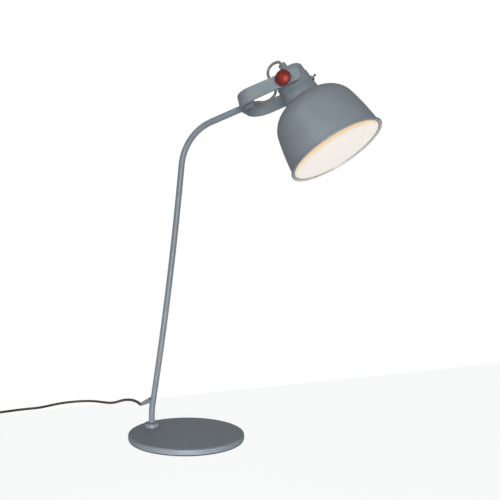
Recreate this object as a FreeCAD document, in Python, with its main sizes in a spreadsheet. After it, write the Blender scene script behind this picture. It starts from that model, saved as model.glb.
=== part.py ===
import FreeCAD, Part
import math
import os
from types import SimpleNamespace

import Sketcher
from FreeCAD import Placement, Rotation, Vector

# Desk lamp: a round base, a bent tube stem, a strap yoke, and a spun shade that tilts in the yoke.
# Frame: origin at the centre of the base's underside, +Z up, +X from the stem's foot towards the head.
# Lengths are millimetres and angles are degrees.

SIZES = {
    # base: a steel disc on a thin pad
    "base_diameter": 180.0,
    "plate_thickness": 7.8,
    "plate_top_round": 2.5,
    "plate_foot_round": 0.5,
    "pad_thickness": 1.5,
    "pad_inset": 1.0,
    "recess_radius": 10.5,
    "recess_depth": 4.2,
    # stem: one bent tube, from the collar up to the yoke
    "stem_from_edge": 25.4,
    "stem_radius": 4.75,
    "stem_wall": 1.0,
    "foot_rise": 22.5,
    "foot_bend_radius": 60.0,
    "foot_bend_angle": 10.4,
    "bow_length": 387.05,
    "bow_radius": 5040.0,
    "top_bend_radius": 70.0,
    "top_bend_angle": 69.5,
    "top_run": 55.2,
    "collar_radius": 13.0,
    "collar_rise": 6.5,
    "collar_round": 3.0,
    # what clamps the stem to the base
    "stud_radius": 3.0,
    "stud_plug_length": 14.0,
    "stud_washer_radius": 8.0,
    "stud_washer_thickness": 0.8,
    "stud_nut_flats": 10.0,
    "stud_nut_thickness": 2.8,
    # yoke: one strap bent to a U
    "yoke_gap": 68.0,
    "yoke_sheet": 2.0,
    "yoke_bend_radius": 24.0,
    "yoke_back": 77.5,
    "yoke_reach": 22.5,
    "yoke_width": 20.0,
    "yoke_tip_width": 17.5,
    "yoke_tip_round": 5.0,
    # what clamps the stem to the yoke
    "arm_nipple_inside_stem": 12.0,
    "lead_bore": 2.3,
    "tooth_washer_radius": 7.0,
    "tooth_washer_thickness": 0.8,
    "sleeve_radius": 4.9,
    "sleeve_length": 16.0,
    "sleeve_lip": 2.0,
    "sleeve_round": 0.8,
    # head: stacked on one axis just ahead of the hinge
    "head_angle": 31.1,
    "axis_ahead": 2.15,
    "housing_below_hinge": 13.0,
    "housing_above_hinge": 6.5,
    "housing_foot_radius": 24.4,
    "housing_taper": 0.6,
    "housing_wall": 2.0,
    "housing_round": 0.8,
    "housing_foot_round": 1.2,
    "boss_radius": 6.2,
    "boss_bite": 1.4,
    "cap_seat": 0.9,
    "cap_draft": 0.6,
    "cap_rise": 14.4,
    "cap_wall": 3.0,
    "cap_round": 3.5,
    "cap_skirt": 4.0,
    "neck_height": 15.1,
    "neck_step": 0.6,
    "neck_draft": 1.3,
    "neck_wall": 2.4,
    "neck_round": 1.0,
    # shade: spun from sheet
    "shade_sheet": 1.0,
    "shade_crown_radius": 26.8,
    "shade_slope_length": 12.4,
    "shade_slope_angle": 25.2,
    "shade_shoulder_radius": 35.9,
    "shade_shoulder_angle": 12.25,
    "shade_flare_radius": 376.0,
    "shade_rim_angle": 3.53,
    "bead_radius": 1.7,
    "bead_offset": 0.8,
    # diffuser in the shade's mouth
    "diffuser_recess": 2.5,
    "diffuser_thickness": 2.0,
    "diffuser_ring_radius": 0.7,
    # lampholder and bulb
    "holder_radius": 14.0,
    "holder_below_crown": 11.5,
    "holder_barrel_length": 38.0,
    "core_radius": 11.4,
    "core_thickness": 12.0,
    "dome_neck_radius": 7.0,
    "dome_neck_length": 6.0,
    "dome_wall": 3.0,
    "dome_neck_wall_drop": 1.5,
    "shell_wall": 0.5,
    "contact_radius": 2.5,
    "contact_length": 2.0,
    "shade_ring_radius": 20.0,
    "shade_ring_thickness": 5.5,
    "bulb_cap_radius": 7.0,
    "bulb_cap_length": 25.0,
    "bulb_radius": 22.5,
    "bulb_shoulder_radius": 14.0,
    "bulb_foot_radius": 8.5,
    "bulb_neck_length": 10.9,
    # cable entry on top of the head
    "nipple_radius": 4.0,
    "nipple_wall": 1.1,
    "nipple_below_cap": 8.0,
    "grip_radius": 5.4,
    "grip_length": 16.0,
    "grip_thread": 5.0,
    "grip_slot": 2.0,
    "grip_slot_depth": 5.0,
    "grip_screw_radius": 1.2,
    "grip_screw_height": 8.0,
    "grip_screw_head": 2.2,
    "grip_screw_head_rise": 1.0,
    "lead_in_grip": 5.0,
    # switch through the housing wall
    "switch_below_hinge": 8.8,
    "switch_width": 8.0,
    "switch_tall": 6.4,
    "switch_clearance": 0.4,
    "switch_bush_radius": 2.6,
    "switch_bush_bore": 1.9,
    "switch_bush_reach": 2.5,
    "switch_nut_radius": 3.9,
    "switch_nut_thickness": 1.4,
    "lever_pivot_depth": 0.4,
    "lever_pin_radius": 0.5,
    "lever_neck_radius": 0.9,
    "lever_tip_radius": 1.7,
    "lever_length": 5.8,
    "lever_angle": 14.0,
    # knobs that clamp the head in the yoke
    "knob_radius": 10.6,
    "knob_rim": 3.0,
    "knob_height": 8.0,
    "knob_hub_radius": 6.5,
    "knob_hub_length": 2.5,
    "knob_bore_depth": 6.0,
    "knob_stud_radius": 2.5,
    "friction_washer_radius": 8.0,
    "friction_washer_thickness": 0.6,
    "spring_washer_radius": 6.0,
    "spring_washer_thickness": 0.7,
    # cables
    "lead_radius": 2.0,
    "lead_first_run": 4.5,
    "cord_radius": 2.25,
    "cord_first_run": 4.0,
    "gland_up_stem": 45.8,
    "gland_angle": 27.0,
    "gland_reach": 25.0,
    "gland_root_radius": 4.4,
    "gland_tip_radius": 2.9,
    "gland_neck_radius": 3.0,
    "stem_cable_turn": 7.5,
    # the wound-up end of the mains cord
    "coil_middle_radius": 25.0,
    "coil_section": 13.5,
    "coil_round": 3.5,
    "cord_lift": 0.05,
    "cord_tail": 36.0,
    "tie_thickness": 0.8,
    "tie_width": 6.0,
    "plug_width": 35.3,
    "plug_thickness": 13.7,
    "plug_length": 36.0,
    "plug_shoulder": 22.0,
    "plug_rear_width": 13.0,
    "plug_round": 3.0,
    "plug_relief_length": 14.0,
    "plug_relief_radius": 3.2,
    "plug_relief_inset": 1.0,
    "pin_radius": 2.0,
    "pin_length": 19.0,
    "pin_pitch": 18.6,
    # clearances
    "thread_play": 0.05,
    "slip_play": 0.1,
    "cable_end_play": 0.4,
    "face_play": 0.1,
}

# The mains cord's route from the gland to the coil, and the coil's middle, from the stem's foot.
CORD_ROUTE = [
    (-29.4, 5.0, 43.0),
    (-42.6, 13.5, 43.1),
    (-63.9, 28.0, 39.9),
    (-92.0, 48.5, 32.3),
    (-118.2, 69.0, 23.0),
    (-141.9, 89.0, 14.3),
    (-172.1, 112.5, 4.8),
    (-194.4, 119.2, 2.3),
    (-219.6, 118.2, 2.3),
    (-242.7, 103.1, 2.3),
    (-260.8, 76.9, 2.3),
    (-266.9, 48.7, 2.3),
    (-270.9, 23.5, 2.3),
    (-284.0, 7.4, 2.3),
    (-295.1, -10.7, 2.3),
    (-311.0, -43.5, 2.3),
    (-328.0, -67.1, 2.3),
]
COIL_MIDDLE = (-352.6, -50.9)
COIL_EXIT_ANGLE = 215.0
TIE_ANGLE = 80.0
# The head lead's route between the yoke's sleeve and the cable grip, from the cap's back edge.
LEAD_ROUTE = [
    (-25.9, 0.0, -11.8),
    (-15.4, 0.0, -10.3),
    (-7.5, 0.0, -4.9),
    (-4.6, 0.0, 3.8),
    (-10.4, 0.0, 13.8),
    (-16.9, 0.0, 23.6),
    (-18.0, 0.0, 32.8),
    (-12.2, 0.0, 40.6),
    (-4.0, 0.0, 42.8),
]
NEAR = 1e-4

document = FreeCAD.newDocument("desk_lamp")
sheet = document.addObject("Spreadsheet::Sheet", "sizes")


class Size:
    """A length or angle, and the sheet expression that gives it."""

    def __init__(self, value, text):
        self.value = value
        self.text = text

    def __add__(self, other):
        other = as_size(other)
        return Size(self.value + other.value, f"({self.text} + {other.text})")

    def __radd__(self, other):
        return as_size(other) + self

    def __sub__(self, other):
        other = as_size(other)
        return Size(self.value - other.value, f"({self.text} - {other.text})")

    def __rsub__(self, other):
        return as_size(other) - self

    def __mul__(self, other):
        other = as_size(other)
        return Size(self.value * other.value, f"({self.text} * {other.text})")

    def __rmul__(self, other):
        return as_size(other) * self

    def __truediv__(self, other):
        other = as_size(other)
        return Size(self.value / other.value, f"({self.text} / {other.text})")

    def __neg__(self):
        return 0 - self


def as_size(number):
    return number if isinstance(number, Size) else Size(float(number), repr(float(number)))


def sine(angle):
    return Size(math.sin(math.radians(angle.value)), f"sin({angle.text})")


def cosine(angle):
    return Size(math.cos(math.radians(angle.value)), f"cos({angle.text})")


def square_root(number):
    return Size(math.sqrt(number.value), f"sqrt({number.text})")


def fill_sheet():
    """Writes each driving dimension to a cell that has its alias."""
    for row, (alias, value) in enumerate(SIZES.items(), 1):
        sheet.set(f"A{row}", alias)
        sheet.set(f"B{row}", str(value))
        sheet.setAlias(f"B{row}", alias)
    document.recompute()


fill_sheet()
S = SimpleNamespace(**{alias: Size(value, f"sizes.{alias}") for alias, value in SIZES.items()})
pieces = []


# ---- sketches ----


def new_body(label, placement=None, whole=True):
    """Starts a body. A body that isn't a whole piece is left out of the list of pieces."""
    body = document.addObject("PartDesign::Body", label)
    body.Placement = placement or Placement()
    if whole:
        pieces.append(body)
    return body


def origin_plane(body, role):
    return next(item for item in body.Origin.OriginFeatures if item.Role == role)


def new_sketch(body, name, role="XZ_Plane", lift=None):
    """Starts a sketch on one of the body's origin planes, lifted along its normal."""
    sketch = body.newObject("Sketcher::SketchObject", name)
    sketch.AttachmentSupport = (origin_plane(body, role), [""])
    sketch.MapMode = "FlatFace"
    if lift is not None:
        sketch.AttachmentOffset = Placement(Vector(0, 0, lift.value), Rotation())
        sketch.setExpression("AttachmentOffset.Base.z", lift.text)
    return sketch


def constrain(sketch, size, kind, *where):
    value = math.radians(size.value) if kind == "Angle" else size.value
    number = sketch.addConstraint(Sketcher.Constraint(kind, *where, value))
    sketch.setExpression(f"Constraints[{number}]", size.text)


def fix_point(sketch, shape, end, point):
    """Ties one end or centre of a sketch shape to its distances from the origin."""
    for kind, size in zip(("DistanceX", "DistanceY"), point):
        constrain(sketch, as_size(size), kind, -1, 1, shape, end)


def add_circle(sketch, centre, radius):
    middle = Vector(as_size(centre[0]).value, as_size(centre[1]).value, 0)
    number = sketch.addGeometry(Part.Circle(middle, Vector(0, 0, 1), radius.value))
    fix_point(sketch, number, 3, centre)
    constrain(sketch, radius, "Radius", number)


def arc_between(start, end, radius, bend):
    """The arc from start to end that bends left or right, drawn anticlockwise, and its two end numbers."""
    chord = end - start
    half = chord.Length / 2
    rise = radius - math.sqrt(max(radius * radius - half * half, 0.0))
    left = Vector(-chord.y, chord.x, 0).normalize()
    if bend == "left":
        return Part.Arc(start, (start + end) * 0.5 - left * rise, end), 1, 2
    return Part.Arc(end, (start + end) * 0.5 + left * rise, start), 2, 1


def add_outline(sketch, corners, arcs=None):
    """Draws a closed outline. arcs gives a side's radius and bend by the number of its first corner."""
    arcs = arcs or {}
    places = [Vector(as_size(across).value, as_size(up).value, 0) for across, up in corners]
    sides = []
    for number, start in enumerate(places):
        end = places[(number + 1) % len(places)]
        if number in arcs:
            radius, bend = arcs[number]
            curve, first, last = arc_between(start, end, radius.value, bend)
        else:
            curve, first, last = Part.LineSegment(start, end), 1, 2
        sides.append((sketch.addGeometry(curve), first, last))
    for number, (shape, first, last) in enumerate(sides):
        following, following_first, _ = sides[(number + 1) % len(sides)]
        sketch.addConstraint(Sketcher.Constraint("Coincident", shape, last, following, following_first))
        fix_point(sketch, shape, first, corners[number])
        if number in arcs:
            constrain(sketch, arcs[number][0], "Radius", shape)


# ---- features ----


def add_turned(body, name, corners, arcs=None):
    """Turns an outline of (radius, height) corners about the body's Z axis."""
    sketch = new_sketch(body, name + "_profile")
    add_outline(sketch, corners, arcs)
    return spin(body, name, sketch)


def spin(body, name, sketch):
    feature = body.newObject("PartDesign::Revolution", name)
    feature.Profile = sketch
    feature.ReferenceAxis = (sketch, ["V_Axis"])
    feature.Angle = 360
    sketch.Visibility = False
    return feature


def turned(label, corners, placement=None, arcs=None):
    body = new_body(label, placement)
    add_turned(body, label + "_turned", corners, arcs)
    return body


def tube(label, outer, inner, foot, top, placement=None):
    return turned(label, [(inner, foot), (outer, foot), (outer, top), (inner, top)], placement)


def rod(label, radius, foot, top, placement=None):
    return turned(label, [(0, foot), (radius, foot), (radius, top), (0, top)], placement)


def add_pad(body, name, sketch, length, symmetric=False):
    feature = body.newObject("PartDesign::Pad", name)
    feature.Profile = sketch
    feature.setExpression("Length", length.text)
    feature.SideType = "Symmetric" if symmetric else "One side"
    return feature


def add_pocket(body, name, sketch, length=None, symmetric=False, forwards=False):
    """Cuts a sketch into the body: right through when no length is given."""
    document.recompute()
    before = body.Tip.Shape.Volume
    feature = body.newObject("PartDesign::Pocket", name)
    feature.Profile = sketch
    feature.SideType = "Symmetric" if symmetric else "One side"
    feature.Reversed = forwards
    if length is None:
        feature.Type = "ThroughAll"
    else:
        feature.setExpression("Length", length.text)
    document.recompute()
    if feature.Shape.Volume > before - NEAR:
        raise ValueError(f"{name} removes nothing")
    return feature


def add_fillet(body, name, radius, wanted):
    """Rounds the edges of the body that wanted picks."""
    document.recompute()
    last = body.Tip
    edges = [f"Edge{number}" for number, edge in enumerate(last.Shape.Edges, 1) if wanted(edge)]
    if not edges:
        raise ValueError(f"{name} finds no edge")
    feature = body.newObject("PartDesign::Fillet", name)
    feature.Base = (last, edges)
    feature.setExpression("Radius", radius.text)
    return feature


def ring_edge(*rings):
    """Picks the circular edges about the body's axis that have the given radius and height."""

    def wanted(edge):
        if not isinstance(edge.Curve, Part.Circle):
            return False
        return any(
            abs(edge.Curve.Radius - radius.value) < NEAR and abs(edge.Curve.Center.z - height.value) < NEAR
            for radius, height in rings
        )

    return wanted


def add_mirrored(body, name, feature, role):
    """Repeats a feature on the other side of an origin plane."""
    mirrored = body.newObject("PartDesign::Mirrored", name)
    mirrored.Originals = [feature]
    mirrored.MirrorPlane = (origin_plane(body, role), [""])
    body.Tip = mirrored
    return mirrored


# ---- paths ----


def walk(start, steps, heading=90.0):
    """Follows tangent straights and bends in a plane: yields each curve, its ends, place and heading."""
    place = start
    for step in steps:
        along = Vector(math.cos(math.radians(heading)), math.sin(math.radians(heading)), 0)
        if len(step) == 1:
            end = place + along * step[0].value
            yield Part.LineSegment(place, end), 1, 2, end, heading
        else:
            radius, angle, bend = step
            turn = angle.value if bend == "left" else -angle.value
            side = Vector(-along.y, along.x, 0) * (1 if bend == "left" else -1)
            centre = place + side * radius.value
            half = Rotation(Vector(0, 0, 1), turn / 2).multVec(place - centre)
            whole = Rotation(Vector(0, 0, 1), turn).multVec(place - centre)
            end = centre + whole
            heading += turn
            if bend == "left":
                yield Part.Arc(place, centre + half, end), 1, 2, end, heading
            else:
                yield Part.Arc(end, centre + half, place), 2, 1, end, heading
        place = end


def add_path(sketch, start, steps):
    """Draws a walk as a chain of tangent lines and arcs, each with its own size."""
    start_place = Vector(start[0].value, start[1].value, 0)
    previous = None
    for step, (curve, first, last, _, _) in zip(steps, walk(start_place, steps)):
        shape = sketch.addGeometry(curve)
        if previous is None:
            fix_point(sketch, shape, first, start)
            sketch.addConstraint(Sketcher.Constraint("Vertical", shape))
        else:
            sketch.addConstraint(Sketcher.Constraint("Tangent", *previous, shape, first))
        if len(step) == 1:
            constrain(sketch, step[0], "Distance", shape)
        else:
            constrain(sketch, step[0], "Radius", shape)
            constrain(sketch, step[1], "Angle", shape)
        previous = (shape, last)


def flat_path(start, steps, heading):
    """A walk as edges in the XZ plane of the lamp."""
    turn = Placement(Vector(), Rotation(Vector(1, 0, 0), 90))
    edges = []
    for curve, _, _, _, _ in walk(start, steps, heading):
        edge = curve.toShape()
        edge.Placement = turn
        edges.append(edge)
    return edges


def rounded_route(label, corners):
    """Straight runs through the corners, joined by arcs that take 0.45 of the shorter run."""
    edges = []
    place = corners[0]
    radii = []
    for before, corner, after in zip(corners, corners[1:], corners[2:]):
        back = (before - corner).normalize()
        ahead = (after - corner).normalize()
        half_turn = (math.pi - back.getAngle(ahead)) / 2
        cut = 0.45 * min(corner.distanceToPoint(before), corner.distanceToPoint(after))
        radius = cut / math.tan(half_turn)
        bisector = (back + ahead).normalize()
        middle = corner + bisector * (radius / math.cos(half_turn) - radius)
        first = corner + back * cut
        last = corner + ahead * cut
        edges.append(Part.LineSegment(place, first).toShape())
        edges.append(Part.Arc(first, middle, last).toShape())
        place = last
        radii.append(round(radius, 1))
    edges.append(Part.LineSegment(place, corners[-1]).toShape())
    print(label, "bend radii", radii)
    return edges


def cable(label, edges, radius, placement=None):
    """Sweeps a round section along edges and checks that its volume is section times length."""
    wire = Part.Wire(edges)
    start = edges[0].valueAt(edges[0].FirstParameter)
    heading = edges[0].tangentAt(edges[0].FirstParameter)
    section = Part.Wire(Part.makeCircle(radius.value, start, heading))
    solid = wire.makePipeShell([section], True, False)
    expected = math.pi * radius.value ** 2 * wire.Length
    print(label, "length", round(wire.Length, 1), "volume", round(solid.Volume / expected, 4))
    feature = document.addObject("Part::Feature", label)
    feature.Shape = solid
    feature.Placement = placement or Placement()
    pieces.append(feature)
    return feature


# ---- base ----

base_radius = S.base_diameter / 2
base_top = S.pad_thickness + S.plate_thickness
stem_foot = S.stem_from_edge - base_radius
STEM_FOOT = Placement(Vector(stem_foot.value, 0, 0), Rotation())


def make_base_pad():
    body = new_body("base_pad")
    outline = new_sketch(body, "pad_outline", "XY_Plane")
    add_circle(outline, (0, 0), base_radius - S.pad_inset)
    add_circle(outline, (stem_foot, 0), S.recess_radius)
    add_pad(body, "pad_disc", outline, S.pad_thickness)


def make_base_plate():
    """The weighted disc, recessed underneath for the stem's nut."""
    body = new_body("base_plate")
    outline = new_sketch(body, "plate_outline", "XY_Plane", S.pad_thickness)
    add_circle(outline, (0, 0), base_radius)
    add_pad(body, "plate_disc", outline, S.plate_thickness)
    recess = new_sketch(body, "recess_outline", "XY_Plane", S.pad_thickness)
    add_circle(recess, (stem_foot, 0), S.recess_radius)
    add_pocket(body, "recess", recess, S.recess_depth, forwards=True)
    hole = new_sketch(body, "stud_hole_outline", "XY_Plane", S.pad_thickness)
    add_circle(hole, (stem_foot, 0), S.stud_radius + S.slip_play)
    add_pocket(body, "stud_hole", hole, forwards=True)
    add_fillet(body, "plate_top_rounded", S.plate_top_round, ring_edge((base_radius, base_top)))
    add_fillet(body, "plate_foot_rounded", S.plate_foot_round, ring_edge((base_radius, S.pad_thickness)))


def make_stem_fixing():
    """The stud in the foot of the stem, and its washer and nut in the recess."""
    seat = S.pad_thickness + S.recess_depth
    washer_foot = seat - S.stud_washer_thickness
    nut_foot = washer_foot - S.stud_nut_thickness
    plug = S.stem_radius - S.stem_wall - S.thread_play
    plug_top = base_top + S.stud_plug_length
    stud_foot = S.pad_thickness / 2
    turned("stem_stud", [
        (0, stud_foot),
        (S.stud_radius, stud_foot),
        (S.stud_radius, base_top),
        (plug, base_top),
        (plug, plug_top),
        (0, plug_top),
    ], STEM_FOOT)
    tube("stud_washer", S.stud_washer_radius, S.stud_radius + S.slip_play, washer_foot, seat, STEM_FOOT)
    nut = new_body("stud_nut", STEM_FOOT)
    outline = new_sketch(nut, "stud_nut_outline", "XY_Plane", nut_foot)
    add_hexagon(outline, S.stud_nut_flats)
    add_circle(outline, (0, 0), S.stud_radius + S.thread_play)
    add_pad(nut, "stud_nut_block", outline, S.stud_nut_thickness)


def add_hexagon(sketch, flats):
    """A hexagon about the sketch's origin, with its width across flats."""
    reach = flats / math.sqrt(3)
    corners = []
    for number in range(6):
        angle = math.radians(60 * number)
        corners.append((reach * math.cos(angle), reach * math.sin(angle)))
    add_outline(sketch, corners)


def make_stem_collar():
    bore = S.stem_radius + S.slip_play
    top = base_top + S.collar_rise
    collar = tube("stem_collar", S.collar_radius, bore, base_top, top, STEM_FOOT)
    add_fillet(collar, "collar_rounded", S.collar_round, ring_edge((S.collar_radius, top)))


# ---- stem ----

stem_bore = S.stem_radius - S.stem_wall
bow_angle = S.bow_length / S.bow_radius * math.degrees(1)
stem_steps = [
    (S.foot_rise,),
    (S.foot_bend_radius, S.foot_bend_angle, "right"),
    (S.bow_radius, bow_angle, "left"),
    (S.top_bend_radius, S.top_bend_angle, "right"),
    (S.top_run,),
]
stem_start = (stem_foot, base_top)
stem_start_place = Vector(stem_foot.value, base_top.value, 0)
stem_walk = list(walk(stem_start_place, stem_steps))
stem_end = stem_walk[-1][3]
arm_pitch = stem_walk[-1][4]
arm_along = Vector(math.cos(math.radians(arm_pitch)), 0, math.sin(math.radians(arm_pitch)))
yoke_back_outside = S.yoke_back + S.yoke_sheet
hinge_ahead = S.tooth_washer_thickness + yoke_back_outside
hinge = Vector(stem_end.x, 0, stem_end.y) + arm_along * hinge_ahead.value
YOKE = Placement(hinge, Rotation(Vector(0, 1, 0), -arm_pitch))
PIVOT = Placement(hinge, Rotation(Vector(0, 1, 0), -S.head_angle.value))
HEAD = PIVOT * Placement(Vector(S.axis_ahead.value, 0, 0), Rotation())
gland_inside = S.stem_radius - S.face_play


def gland_frame():
    """The gland's place on the stem's axis, Z out of the stem, and how far the bow has turned there."""
    bend_length = S.foot_bend_radius.value * math.radians(S.foot_bend_angle.value)
    up_bow = S.gland_up_stem.value - S.foot_rise.value - bend_length
    turned_so_far = as_size(math.degrees(up_bow / S.bow_radius.value))
    steps = stem_steps[:2] + [(S.bow_radius, turned_so_far, "left")]
    _, _, _, place, heading = list(walk(stem_start_place, steps))[-1]
    outward = Rotation(Vector(0, 1, 0), -90 - S.gland_angle.value)
    return Placement(Vector(place.x, 0, place.y), outward), heading, turned_so_far


GLAND, heading_at_gland, bow_turned_at_gland = gland_frame()


def make_stem():
    """The bent tube, with the gland's hole in its back."""
    body = new_body("stem_blank", whole=False)
    route = new_sketch(body, "stem_route")
    add_path(route, stem_start, stem_steps)
    ring = new_sketch(body, "stem_ring", "XY_Plane", base_top)
    add_circle(ring, (stem_foot, 0), S.stem_radius)
    add_circle(ring, (stem_foot, 0), stem_bore)
    swept = body.newObject("PartDesign::AdditivePipe", "stem_swept")
    swept.Profile = ring
    swept.Spine = (route, [])
    document.recompute()
    length = sum(edge.Length for edge in route.Shape.Edges)
    section = math.pi * (S.stem_radius.value ** 2 - stem_bore.value ** 2)
    print("stem length", round(length, 1), "volume", round(body.Shape.Volume / section / length, 4))
    drill = document.addObject("Part::Cylinder", "gland_drill")
    drill.setExpression("Radius", (S.gland_neck_radius + S.slip_play).text)
    drill.setExpression("Height", (S.stem_radius * 3).text)
    drill.Placement = GLAND
    stem = document.addObject("Part::Cut", "stem_tube")
    stem.Base = body
    stem.Tool = drill
    pieces.append(stem)


def make_cord_gland():
    """The tapered strain relief: a cone saddled on the stem's back, and a neck through the stem's wall."""
    body = new_body("gland_cone", GLAND, whole=False)
    add_turned(body, "gland_cone_turned", [
        (0, S.stem_radius),
        (S.gland_root_radius, S.stem_radius),
        (S.gland_tip_radius, S.gland_reach),
        (0, S.gland_reach),
    ])
    saddle = document.addObject("Part::Cylinder", "gland_saddle")
    saddle.setExpression("Radius", (S.stem_radius + S.face_play).text)
    saddle.setExpression("Height", (S.gland_reach * 2).text)
    lean = Rotation(Vector(0, 1, 0), 90 - heading_at_gland)
    start = Placement(Vector(0, 0, -S.gland_reach.value), Rotation())
    saddle.Placement = Placement(GLAND.Base, lean) * start
    cone = document.addObject("Part::Cut", "gland_cone_saddled")
    cone.Base = body
    cone.Tool = saddle
    neck = document.addObject("Part::Cylinder", "gland_neck")
    neck.setExpression("Radius", S.gland_neck_radius.text)
    neck.setExpression("Height", (S.stem_radius * 2).text)
    neck.Placement = GLAND * Placement(Vector(0, 0, gland_inside.value), Rotation())
    gland = document.addObject("Part::Fuse", "cord_gland")
    gland.Base = cone
    gland.Tool = neck
    pieces.append(gland)


def make_stem_cable():
    """The cable inside the stem, from the gland round into the tube and up to the sleeve's mouth."""
    turn = heading_at_gland - S.gland_angle.value
    tangent = S.stem_cable_turn.value * math.tan(math.radians(turn / 2))
    bow_used = math.degrees(tangent / S.bow_radius.value)
    inward = Rotation(Vector(0, 0, 1), S.gland_angle.value).multVec(Vector(1, 0, 0))
    begin = Vector(GLAND.Base.x, GLAND.Base.z, 0) - inward * gland_inside.value
    arm_run = S.top_run + S.tooth_washer_thickness + S.yoke_sheet + S.sleeve_length
    steps = [
        (gland_inside - tangent,),
        (S.stem_cable_turn, as_size(turn), "left"),
        (S.bow_radius, bow_angle - bow_turned_at_gland - bow_used, "left"),
        (S.top_bend_radius, S.top_bend_angle, "right"),
        (arm_run - S.cable_end_play,),
    ]
    cable("stem_cable", flat_path(begin, steps, S.gland_angle.value), S.lead_radius)


# ---- yoke ----

yoke_inside = S.yoke_gap / 2
yoke_outside = yoke_inside + S.yoke_sheet
arm_nipple_radius = stem_bore - S.thread_play


def is_tip_corner(edge):
    """Picks the four corners at the ends of the yoke's arms."""
    middle = edge.CenterOfMass
    across = abs(abs(middle.y) - (yoke_inside + S.yoke_sheet / 2).value) < NEAR
    at_end = abs(middle.x - S.yoke_reach.value) < NEAR
    at_corner = abs(abs(middle.z) - S.yoke_tip_width.value / 2) < NEAR
    return across and at_end and at_corner


def make_yoke_strap():
    """A strap bent to a U, tapered towards its rounded tips, with pivot holes and a hole at the back."""
    body = new_body("yoke_strap", YOKE)
    bend_start = S.yoke_bend_radius - S.yoke_back
    flat_half = yoke_inside - S.yoke_bend_radius
    outer_bend = S.yoke_bend_radius + S.yoke_sheet
    outline = new_sketch(body, "yoke_outline", "XY_Plane")
    add_outline(outline, [
        (S.yoke_reach, -yoke_outside),
        (S.yoke_reach, -yoke_inside),
        (bend_start, -yoke_inside),
        (-S.yoke_back, -flat_half),
        (-S.yoke_back, flat_half),
        (bend_start, yoke_inside),
        (S.yoke_reach, yoke_inside),
        (S.yoke_reach, yoke_outside),
        (bend_start, yoke_outside),
        (-yoke_back_outside, flat_half),
        (-yoke_back_outside, -flat_half),
        (bend_start, -yoke_outside),
    ], {
        2: (S.yoke_bend_radius, "right"),
        4: (S.yoke_bend_radius, "right"),
        8: (outer_bend, "left"),
        10: (outer_bend, "left"),
    })
    add_pad(body, "yoke_bent", outline, S.yoke_width, symmetric=True)
    half, tip_half = S.yoke_width / 2, S.yoke_tip_width / 2
    taper = new_sketch(body, "yoke_taper_outline")
    add_outline(taper, [(bend_start, half), (S.yoke_reach, tip_half), (S.yoke_reach, half)])
    add_outline(taper, [(bend_start, -half), (S.yoke_reach, -tip_half), (S.yoke_reach, -half)])
    add_pocket(body, "yoke_taper", taper, symmetric=True)
    add_fillet(body, "yoke_tips_rounded", S.yoke_tip_round, is_tip_corner)
    pivot = new_sketch(body, "yoke_pivot_outline")
    add_circle(pivot, (0, 0), S.knob_stud_radius + S.slip_play)
    add_pocket(body, "yoke_pivot_holes", pivot, symmetric=True)
    back = new_sketch(body, "yoke_back_outline", "YZ_Plane")
    add_circle(back, (0, 0), arm_nipple_radius + S.slip_play)
    add_pocket(body, "yoke_back_hole", back)


def make_yoke_fixing():
    """The threaded nipple in the stem's end, its toothed washer, and the sleeve nut inside the yoke."""
    forwards = YOKE * Placement(Vector(-yoke_back_outside.value, 0, 0), Rotation(Vector(0, 1, 0), 90))
    washer_back = -S.tooth_washer_thickness
    sleeve_foot = S.yoke_sheet
    sleeve_tip = sleeve_foot + S.sleeve_length
    nipple_tip = sleeve_tip - S.sleeve_lip - S.face_play
    nipple_back = washer_back - S.arm_nipple_inside_stem
    tube("arm_nipple", arm_nipple_radius, S.lead_bore, nipple_back, nipple_tip, forwards)
    washer_bore = arm_nipple_radius + S.slip_play
    tube("tooth_washer", S.tooth_washer_radius, washer_bore, washer_back, as_size(0), forwards)
    thread = arm_nipple_radius + S.thread_play
    sleeve = turned("sleeve_nut", [
        (thread, sleeve_foot),
        (S.sleeve_radius, sleeve_foot),
        (S.sleeve_radius, sleeve_tip),
        (S.lead_bore, sleeve_tip),
        (S.lead_bore, sleeve_tip - S.sleeve_lip),
        (thread, sleeve_tip - S.sleeve_lip),
    ], forwards)
    add_fillet(sleeve, "sleeve_rounded", S.sleeve_round, ring_edge((S.sleeve_radius, sleeve_tip)))


# ---- head: housing, cap and collar ----

housing_foot = -S.housing_below_hinge
housing_top = S.housing_above_hinge
housing_top_radius = S.housing_foot_radius - S.housing_taper
housing_top_bore = housing_top_radius - S.housing_wall
wall_slope = S.housing_taper / (S.housing_below_hinge + S.housing_above_hinge)
boss_root = S.housing_foot_radius - wall_slope * S.housing_below_hinge - S.boss_bite
cap_foot_radius = housing_top_bore + S.cap_seat
cap_back = HEAD.multVec(Vector(-cap_foot_radius.value, 0, housing_top.value))
neck_top_radius = S.housing_foot_radius + S.neck_step
neck_foot_radius = neck_top_radius + S.neck_draft
neck_bore = neck_top_radius - S.neck_wall
crown_top = housing_foot - S.neck_height
cap_top = housing_top + S.cap_rise
boss_face = yoke_inside - S.friction_washer_thickness - 2 * S.face_play


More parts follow.
